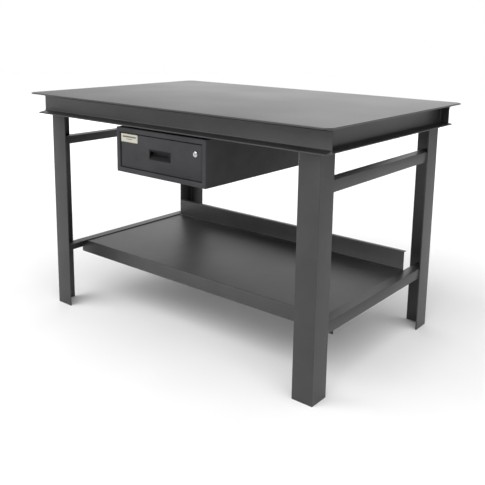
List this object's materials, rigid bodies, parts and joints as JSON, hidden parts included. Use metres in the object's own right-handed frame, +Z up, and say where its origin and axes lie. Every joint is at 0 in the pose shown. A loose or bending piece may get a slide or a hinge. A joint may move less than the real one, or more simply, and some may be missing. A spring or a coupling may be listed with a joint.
{
  "type": "welded steel workbench with drawer",
  "caption": "Heavy welded steel workbench: plate top on a channel frame, angle legs, lower shelf with backstop, and a lockable sliding drawer hung under the front.",
  "frame": {"origin": "on the floor, under the middle of the top", "axes": "+X along the bench to the right seen from the drawer side, +Y towards the back, +Z up"},
  "size_m": [1.3716, 0.9144, 0.8636],
  "materials": {
    "top_paint": "dark grey powder coat, satin",
    "frame_paint": "dark grey powder coat, satin",
    "shelf_paint": "dark grey powder coat, satin",
    "drawer_paint": "dark grey powder coat, fine texture",
    "zinc_plate": "bright zinc plate",
    "slide_steel": "rolled zinc-plated strip",
    "lock_chrome": "polished chrome",
    "pull_plastic": "black moulded plastic",
    "label_card": "cream satin, blank"
  },
  "bodies": {
    "bench": {"top_plate": "top_paint", "front_channel": "frame_paint", "rear_channel": "frame_paint", "left_channel": "frame_paint", "right_channel": "frame_paint", "front_left_leg": "frame_paint", "front_right_leg": "frame_paint", "rear_left_leg": "frame_paint", "rear_right_leg": "frame_paint", "left_upper_rail": "frame_paint", "right_upper_rail": "frame_paint", "left_lower_rail": "frame_paint", "right_lower_rail": "frame_paint", "shelf_pan": "shelf_paint", "shelf_backstop": "shelf_paint", "drawer_housing": "drawer_paint", "housing_back": "drawer_paint", "left_hanger": "drawer_paint", "right_hanger": "drawer_paint", "hanger_bolts": "zinc_plate", "hanger_nuts": "zinc_plate", "left_slide_bracket": "drawer_paint", "right_slide_bracket": "drawer_paint", "left_slide_outer": "slide_steel", "right_slide_outer": "slide_steel", "slide_outer_screws": "zinc_plate"},
    "left_middle": {"left_slide_middle": "slide_steel"},
    "right_middle": {"right_slide_middle": "slide_steel"},
    "drawer": {"drawer_tray": "drawer_paint", "drawer_front": "drawer_paint", "front_screws": "zinc_plate", "pull_cup": "pull_plastic", "label_plate": "label_card", "left_slide_inner": "slide_steel", "right_slide_inner": "slide_steel", "slide_inner_screws": "zinc_plate", "lock_barrel": "lock_chrome", "lock_nut": "zinc_plate"},
    "lock": {"lock_plug": "lock_chrome", "lock_cam": "zinc_plate", "cam_screw": "zinc_plate"}
  },
  "joints": [
    {"name": "drawer_slide", "type": "slide", "parent": "bench", "child": "drawer", "axis": [0, -1, 0], "range_m": [0, 0.44]},
    {"name": "left_middle_slide", "type": "slide", "parent": "bench", "child": "left_middle", "axis": [0, -1, 0], "range_m": [0, 0.22]},
    {"name": "right_middle_slide", "type": "slide", "parent": "bench", "child": "right_middle", "axis": [0, -1, 0], "range_m": [0, 0.22]},
    {"name": "lock_turn", "type": "hinge", "parent": "drawer", "child": "lock", "pos_m": [0.163, -0.4218, 0.722], "axis": [0, 1, 0], "range_deg": [0, 90]}
  ],
  "couplings": [
    {"joint": "left_middle_slide", "follows": "drawer_slide", "ratio": 0.5},
    {"joint": "right_middle_slide", "follows": "drawer_slide", "ratio": 0.5}
  ]
}
